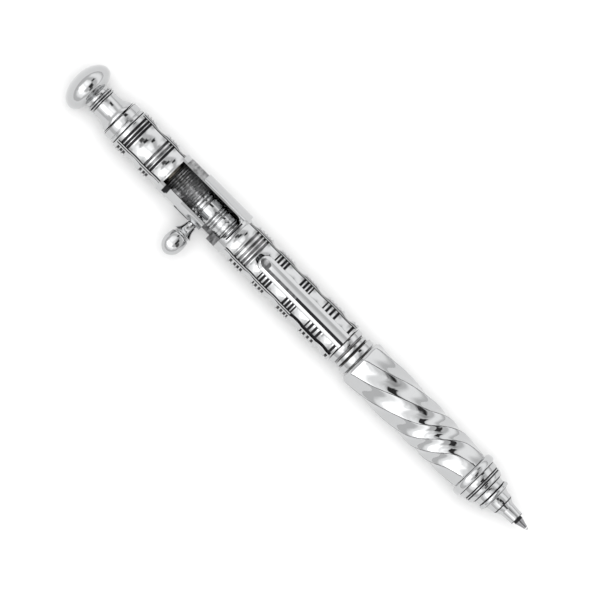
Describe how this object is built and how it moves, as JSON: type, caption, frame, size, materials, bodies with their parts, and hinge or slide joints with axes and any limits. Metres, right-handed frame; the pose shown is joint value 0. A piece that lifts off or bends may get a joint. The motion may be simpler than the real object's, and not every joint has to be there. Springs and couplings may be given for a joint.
{
  "type": "bolt action pen",
  "caption": "Ballpoint pen with a side bolt in an engraved receiver, a bar clip, a twisted fluted barrel, a stepped nib and a mushroom finial.",
  "frame": {"origin": "centre of the small flat on the end of the finial knob, on the pen's axis", "axes": "+X along the pen towards the writing tip, +Z out through the clip and the receiver window, bolt handle towards -Y"},
  "size_m": [0.1453, 0.0205, 0.0131],
  "materials": {
    "polished_chrome": "mirror-polished plating",
    "dark_chrome": "polished refill nose",
    "steel": "plain turned steel",
    "refill_steel": "drawn tube",
    "brass": "turned and threaded",
    "refill_plastic": "moulded cap"
  },
  "bodies": {
    "casing": {"finial_knob": "polished_chrome", "finial_bead": "polished_chrome", "finial_flare": "polished_chrome", "finial_stud": "steel", "end_collar": "polished_chrome", "end_plug": "brass", "housing": "polished_chrome", "coupler": "brass", "centre_ring_rear": "polished_chrome", "centre_ring_middle": "polished_chrome", "centre_ring_front": "polished_chrome"},
    "plunger": {"pusher_pin": "steel", "refill_cap": "refill_plastic", "refill_tube": "refill_steel", "refill_nose": "dark_chrome", "refill_ball": "steel"},
    "bolt": {"bolt": "polished_chrome", "handle_stem": "polished_chrome", "handle_skirt": "polished_chrome", "handle_ring": "polished_chrome", "handle_knob": "polished_chrome"},
    "clip": {"clip": "polished_chrome"},
    "barrel_lining": {"barrel_tube": "brass", "return_spring": "steel"},
    "lower_barrel": {"twisted_barrel": "polished_chrome", "nib_bead": "polished_chrome", "nib_coupler": "brass", "nib": "polished_chrome"}
  },
  "joints": [
    {"name": "bolt_slide", "type": "slide", "parent": "casing", "child": "plunger", "axis": [1, 0, 0], "range_m": [-0.0074, 0.003], "deforming": ["return_spring"]},
    {"name": "bolt_turn", "type": "hinge", "parent": "plunger", "child": "bolt", "pos_m": [0.0424, 0, 0], "axis": [1, 0, 0], "range_deg": [0, 28]},
    {"name": "clip_flex", "type": "hinge", "parent": "casing", "child": "clip", "pos_m": [0.0604, 0, 0.0048], "axis": [0, -1, 0], "range_deg": [0, 4], "stiffness_Nm_per_rad": 0.5},
    {"name": "barrel_advance", "type": "slide", "parent": "casing", "child": "barrel_lining", "axis": [1, 0, 0], "range_m": [0, 0.006]},
    {"name": "barrel_unscrew", "type": "hinge", "parent": "barrel_lining", "child": "lower_barrel", "pos_m": [0.11, 0, 0], "axis": [1, 0, 0], "range_deg": [0, 2161]}
  ],
  "couplings": [
    {"joint": "barrel_unscrew", "follows": "barrel_advance", "rad_per_m": 6283.2}
  ]
}
